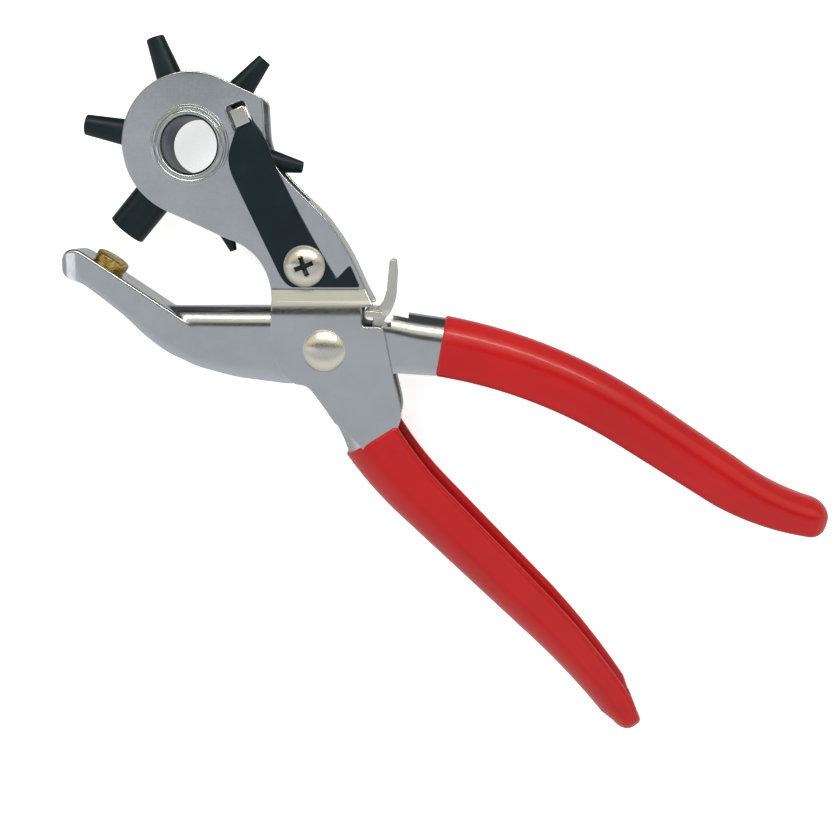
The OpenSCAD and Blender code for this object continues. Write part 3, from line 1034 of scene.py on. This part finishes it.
def tube_profile(tip_od):
    """Half section of a tube, from its stem's end round the outside, over the edge and down the bore."""
    tip = tip_od / 2
    straight = tip_od > TUBE_ROOT
    body = max(TUBE_ROOT / 2, tip)
    bore = 3.7 if straight else tip - 0.35
    edge = 0.75 if straight else 0.12
    return rounded([
        (0.01, 10, 0), (2.6, 10, 0.2), (2.6, WHEEL_FLAT + 0.02, 0.05), (body, WHEEL_FLAT + 0.02, 0.3),
        (body, 18, 1.5), (tip, TUBE_REACH - 0.1, 0.12), (tip - 0.1, TUBE_REACH, 0.05),
        (bore + edge, TUBE_REACH - 0.02, 0.1), (bore, TUBE_REACH - edge, 0.3),
        (bore, WHEEL_FLAT + 1.2, 0.1), (0.01, WHEEL_FLAT + 1, 0),
    ])


def punch_tube(k):
    heading = TUBE_ANGLE + 60 * k
    name = f"punch_tube_{k + 1}"
    upright = lathe(tube_profile(TUBE_TIPS[k]), 72)
    punch = mesh_piece(name, placed(upright, frame_at(0, 0, 0, heading, 90)))
    finished(punch, BLACK, "punch_wheel", [name])


def ring_profile(side):
    """The rolled, grooved lip of the hollow rivet on one side, from its bore outwards."""
    seat = HEAD_OUT + WASHER_T
    heights = [
        (PEG_R, 0, 0), (PEG_R, seat + 0.1, 0.4), (PEG_R + 0.75, seat + 1.05, 0.5),
        (PEG_R + 1.35, seat + 0.95, 0.4), (PEG_R + 1.75, seat + 0.45, 0.25),
        (PEG_R + 2.15, seat + 0.75, 0.25), (PEG_R + 2.6, seat + 0.55, 0.3),
        (PEG_R + 2.62, seat, 0.1), (SLEEVE_R, seat, 0.1), (SLEEVE_R, 0, 0),
    ]
    return [(r, h * side) for r, h in rounded(heights, 6)]


def wheel_rivet():
    shell = joined(lathe(ring_profile(1), 120), lathe(ring_profile(-1)[::-1], 120))
    rivet = mesh_piece("wheel_rivet", shell)
    finished(rivet, ZINC_RING, "wheel_lever", ["wheel_rivet"])
    # Painted shade: the bore's faces get the dark steel, as the hole's shaded inner wall.
    painted(rivet, SHADE_PAINT_STEEL, lambda x, y, z: math.hypot(x, y) < PEG_R + 0.06)


def washer(name, side):
    outline = arc((0, 0), WASHER_R, 0, 357, 119)
    bore = arc((0, 0), WASHER_BORE, 0, 355, 71)
    shell = plate(outline, HEAD_OUT, HEAD_OUT + WASHER_T, 0.15, [bore])
    if side < 0:
        shell = mirrored(shell)
    ring = mesh_piece(name, shell)
    finished(ring, NICKEL, "wheel_lever", [name])


def dome_profile(radius, height, base, rim):
    """A cap that stands on base, with a softened rim."""
    ball = (radius ** 2 + height ** 2) / (2 * height)
    sweep = math.asin(min(radius / ball, 1))
    points = [(0.01, base + height)]
    for i in range(1, 17):
        a = sweep * i / 17
        points.append((ball * math.sin(a), base + height - ball * (1 - math.cos(a))))
    edge = bend((radius - 0.05, base + rim), (radius + 0.02, base + rim * 0.3), (radius - 0.25, base), 4)
    return points + edge


def pivot_rivet():
    cap = dome_profile(RIVET_R, RIVET_DOME, SIDE_OUT, 0.35)
    profile = [*cap, (3.05, SIDE_OUT), (3.0, SIDE_OUT - 0.05), (3.0, 0)]
    half = lathe(profile)
    rivet = mesh_piece("pivot_rivet", placed(joined(half, mirrored(half)), frame_at(*PIVOT)))
    finished(rivet, BRIGHT, "wheel_lever", ["pivot_rivet"])


def cross_recess(base):
    """A tapered cross, as a driver leaves it."""
    shells = []
    for heading in (20, 110):
        rings = []
        for depth, length, width in ((0.7, 1.2, 0.4), (1.5, 2.3, 0.5), (3.4, 3.0, 0.8)):
            ring = rectangle(-length, length, -width, width)
            rings.append([(*turned(p, heading), base + depth) for p in ring])
        shells.append(loft(rings))
    return shells


def index_screw():
    base = HEAD_OUT + LEAF_T
    profile = [*dome_profile(SCREW_R, SCREW_DOME, base, 0.6), (2.45, base), (2.4, base - 0.05),
               (2.4, -HEAD_OUT - 2.2), (2.1, -HEAD_OUT - 2.4), (0.01, -HEAD_OUT - 2.4)]
    screw = mesh_piece("index_screw", lathe(profile))
    cut(screw, *cross_recess(base))
    softened(screw, 0.12, 50)
    displaced(screw, lambda x, y, z: (*SCREW_AT, 0))
    finished(screw, BRIGHT, "wheel_lever", ["index_screw"])
    deep = base + SCREW_DOME - 0.45

    def in_recess(x, y, z):
        return base + 0.5 < z < deep and math.dist((x, y), SCREW_AT) < 2.6

    # Painted shade: the cross recess is coloured dark steel.
    painted(screw, SHADE_PAINT_STEEL, in_recess)


def index_nut():
    corners = arc((0, 0), 4.6, 0, 300, 5)
    top = -HEAD_OUT
    shell = plate(moved(corners, SCREW_AT), top - 2.2, top, 0.35, [arc(SCREW_AT, 2.42, 0, 352, 44)])
    nut = mesh_piece("index_nut", shell)
    finished(nut, ZINC, "wheel_lever", ["index_nut"])


# ---------------- index leaf, nose and latch

def leaf_outline():
    return without_repeats([
        *bend((12.6, 3.9), (14, 7.2), (16.1, 7), 5),
        *bend((16.1, 7), (19.4, 3.4), (20.6, 0.6), 5),
        *bend((20.6, 0.6), (21.7, -2.2), (22.9, -6), 6),
        *bend((22.9, -6), (30.4, -22), (38.1, -34.5), 20),
        *bend((38.1, -34.5), (38.4, -35.2), (38.9, -34.7), 3),
        *bend((41.5, -32), (42.1, -31.4), (42.5, -32.3), 3),
        *bend((44.4, -36.7), (44.8, -37.4), (44, -37.4), 3),
        (26.6, -37.4),
        *bend((26.6, -37.4), (24.4, -36.8), (22.8, -33.2), 6),
        *bend((22.8, -33.2), (16.6, -20), (12, -9.9), 16),
        *bend((12, -9.9), (9.4, -4.6), (10.8, -1), 8),
        *bend((10.8, -1), (11.6, 1.6), (12.6, 3.9), 5),
    ])[::-1]


def leaf_ridge(x, y):
    """A low pressed ridge from the leaf's upper end down its right side."""
    top, bottom = Vector((16.2, 5.4)), Vector((21.5, -8))
    way = bottom - top
    t = (Vector((x, y)) - top).dot(way) / way.length_squared
    off = (Vector((x, y)) - top - way * min(max(t, 0), 1)).length
    fade = eased(1 - max(t - 0.3, 0) / 0.7)
    return 0.22 * fade * math.exp(-(off / 0.8) ** 2)


def index_leaf():
    leaf = mesh_piece("index_leaf", plate(leaf_outline(), HEAD_OUT, HEAD_OUT + LEAF_T, 0.38))
    top = HEAD_OUT + LEAF_T
    # Lines of edges across the leaf, and along the ridge
    for i in range(1, 44):
        sliced(leaf, (0, 7 - i, 0), (0, 1, 0))
    for i in range(1, 9):
        sliced(leaf, (12.6 + i, 3.4, 0), (0.93, 0.36, 0))
    displaced(leaf, lambda x, y, z: (0, 0, leaf_ridge(x, y) if z > top - 0.5 else 0))
    finished(leaf, BLACK, "index_leaf", ["index_leaf"])
    leaf.parent = None
    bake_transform(leaf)


def index_nose():
    """A bright block in the cheek's slot, hooked over the leaf's end."""
    low = WHEEL_HALF + 0.3
    top = HEAD_OUT + LEAF_T
    body = plate(rectangle(-1.7, 1.7, -1.45, 1.45), low, top + 0.3, 0.3)
    hook = plate(rectangle(-1.9, 1.9, -3.1, 1.3), top + 0.02, top + 0.62, 0.28)
    shell = placed(joined(body, hook), frame_at(*NOSE_AT, 0, LEAF_HEADING - 90))
    nose = mesh_piece("index_nose", shell)
    finished(nose, BRIGHT, "index_leaf", ["index_nose"])


def latch_tab():
    """Side view of the tab: it starts at the eye and curves up to the thumb end."""
    return without_repeats([
        (50, -49), (47.7, -49), (48.2, -45.2), (48.6, -43.9),
        *bend((48.8, -43.7), (50.8, -42.6), (51.8, -38.4), 8),
        (52.5, -31.4),
        *bend((52.6, -30.4), (53.5, -29.9), (54.4, -30.5), 6),
        (54.6, -34),
        *bend((54.2, -40), (53.6, -44), (51.6, -45.6), 8),
    ])


def lock_latch():
    bar = plate(without_repeats([
        *bend((46.1, -43.6), (45.9, -45.2), (47, -45.2), 3), (50.4, -45.6), (50.6, -43.9), (46.6, -43.5),
    ]), -9.2, 9.2, 0.3)
    eye = lathe(rounded([(1.26, 5, 0), (2.7, 5, 0.3), (2.7, -5, 0.3), (1.26, -5, 0)]), 48)
    shell = joined(bar, plate(latch_tab(), -5, 5, 0.3), placed(eye, frame_at(*LATCH_AT)))
    latch = mesh_piece("lock_latch", shell)
    finished(latch, BRIGHT, "lock_latch", ["lock_latch"])


# ---------------- the return spring

def return_spring():
    """A close-wound coil round the rivet's sleeve, with a leg towards each lever's web."""
    coil_radius, wire_radius, turns, rise, steps = 6.4, 0.78, 2.2, 1.5, 90
    first, last = -52, 22 + 360 * turns
    line = []
    for i in range(steps + 1):
        x, y = turned((coil_radius, 0), first + (last - first) * i / steps)
        line.append((PIVOT[0] + x, PIVOT[1] + y, -rise * turns / 2 + rise * turns * i / steps))
    low, high = line[0], line[-1]
    lead_in, lead_out = turned((9, 0), first - 60), turned((6, 0), last + 60)
    line.insert(0, (low[0] + lead_in[0], low[1] + lead_in[1], low[2]))
    line.append((high[0] + lead_out[0], high[1] + lead_out[1], high[2]))
    coil = mesh_piece("return_spring", tube(line, wire_radius, 16))
    finished(coil, SPRING, "wheel_lever", ["return_spring"])


# ---------------- carried-over CAD nodes

def repaint(node, material):
    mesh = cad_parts[node].data
    mesh.materials.clear()
    mesh.materials.append(material)


# ---------------- the studio

def studio_floor():
    """A plain pale sheet under the object."""
    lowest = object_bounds()[0].z / MM
    half = 1500
    corners = rectangle(-half, half, -half, half)
    floor = mesh_piece("studio_floor", ([(*c, lowest) for c in corners], [(0, 1, 2, 3)]))
    material, tree, bsdf = fresh_material("pale_floor")
    mottle = object_noise(tree, 0.01, detail=2)
    tree.links.new(blended(tree, mottle, (0.90, 0.90, 0.90), (0.93, 0.93, 0.93)), bsdf.inputs["Base Color"])
    bsdf.inputs["Roughness"].default_value = 0.9
    bsdf.inputs["Specular IOR Level"].default_value = 0.1
    bsdf.inputs["Emission Color"].default_value = (1, 1, 1, 1)
    bsdf.inputs["Emission Strength"].default_value = 0.62
    floor.data.materials.append(material)
    floor.visible_glossy = False
    floor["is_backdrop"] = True


# Sky brightness by angle from the zenith towards +Y, in degrees: what the curved metal mirrors
SKY = (
    (-180, (0.40, 0.40, 0.42)), (-100, (0.55, 0.54, 0.52)), (-60, (0.80, 0.78, 0.74)),
    (-35, (0.42, 0.42, 0.42)), (-22, (0.50, 0.51, 0.53)), (8, (0.52, 0.54, 0.56)),
    (11, (0.05, 0.045, 0.04)), (28, (0.07, 0.065, 0.055)), (34, (0.80, 0.77, 0.60)),
    (74, (0.80, 0.77, 0.60)), (82, (0.05, 0.055, 0.06)), (138, (0.06, 0.065, 0.07)),
    (152, (0.50, 0.52, 0.50)), (180, (0.50, 0.52, 0.50)),
)


def studio_sky():
    world = bpy.data.worlds.new("studio")
    bpy.context.scene.world = world
    world.use_nodes = True
    tree = world.node_tree
    background = tree.nodes["Background"]
    coordinates = tree.nodes.new("ShaderNodeTexCoord")
    split = tree.nodes.new("ShaderNodeSeparateXYZ")
    angle = tree.nodes.new("ShaderNodeMath")
    angle.operation = "ARCTAN2"
    ramp = tree.nodes.new("ShaderNodeValToRGB")
    tree.links.new(coordinates.outputs["Generated"], split.inputs["Vector"])
    tree.links.new(split.outputs["Y"], angle.inputs[0])
    tree.links.new(split.outputs["Z"], angle.inputs[1])
    share = ranged(tree, angle.outputs["Value"], 0, 1, -math.pi, math.pi)
    tree.links.new(share, ramp.inputs["Fac"])
    stops = ramp.color_ramp.elements
    while len(stops) > 1:
        stops.remove(stops[-1])
    for i, (degrees, colour) in enumerate(SKY):
        stop = stops[0] if i == 0 else stops.new(0.5 + degrees / 360)
        stop.position = 0.5 + degrees / 360
        stop.color = (*colour, 1)
    tree.links.new(ramp.outputs["Color"], background.inputs["Color"])
    background.inputs["Strength"].default_value = 1.0
    plain = tree.nodes.new("ShaderNodeBackground")
    plain.inputs["Color"].default_value = (1, 1, 1, 1)
    seen = tree.nodes.new("ShaderNodeLightPath")
    either = tree.nodes.new("ShaderNodeMixShader")
    tree.links.new(seen.outputs["Is Camera Ray"], either.inputs["Fac"])
    tree.links.new(background.outputs["Background"], either.inputs[1])
    tree.links.new(plain.outputs["Background"], either.inputs[2])
    tree.links.new(either.outputs["Shader"], tree.nodes["World Output"].inputs["Surface"])


def area_light(name, at, towards, size, power, colour=(1, 1, 1), mirrored_too=False):
    """A soft box; its reflection shows only where mirrored_too is set."""
    data = bpy.data.lights.new(name, "AREA")
    data.shape = "RECTANGLE"
    data.size, data.size_y = size[0] * MM, size[1] * MM
    data.energy = power
    data.color = colour
    lamp = bpy.data.objects.new(name, data)
    bpy.context.scene.collection.objects.link(lamp)
    lamp.location = Vector(at) * MM
    way = Vector(towards) - Vector(at)
    lamp.rotation_mode = "QUATERNION"
    lamp.rotation_quaternion = way.to_track_quat("-Z", "Y")
    lamp.visible_glossy = mirrored_too


def studio_lights():
    middle = (60, -50, 0)
    area_light("key", (-150, 250, 600), middle, (420, 420), 2.0)
    area_light("fill", (300, -350, 500), middle, (500, 400), 0.8)
    area_light("edge", (-420, -40, 260), middle, (60, 500), 0.08, (1, 1, 1), True)
    area_light("ridge", (120, 420, 300), middle, (700, 60), 1.2, (1, 0.98, 0.95), True)


def camera():
    data = bpy.data.cameras.new("camera")
    data.lens = 50
    data.sensor_width = 36
    data.clip_start, data.clip_end = 0.01, 10
    eye = bpy.data.objects.new("camera", data)
    bpy.context.scene.collection.objects.link(eye)
    eye.location = Vector(CAMERA_AT) * MM
    eye.rotation_euler = (*map(math.radians, CAMERA_TILT), 0)
    bpy.context.scene.camera = eye


# ---------------- everything together

wheel_lever()
anvil_lever()
anvil()
grip("grip_right", "anvil_lever", RIGHT_START, RIGHT_LEGS, 1, LEVER_HALF + VINYL)
grip("grip_lower", "wheel_lever", LOWER_START, LOWER_LEGS, -1, SIDE_OUT + VINYL)
punch_wheel()
for number in range(6):
    punch_tube(number)
wheel_rivet()
washer("wheel_washer_front", 1)
washer("wheel_washer_back", -1)
pivot_rivet()
index_screw()
index_nut()
index_leaf()
index_nose()
lock_latch()
return_spring()
for hidden_part in ("index_spacer", "pivot_washer_front", "pivot_washer_back", "latch_pin"):
    repaint(hidden_part, ZINC)
camera()
studio_floor()
studio_sky()
studio_lights()
bpy.context.scene.view_settings.view_transform = "Standard"
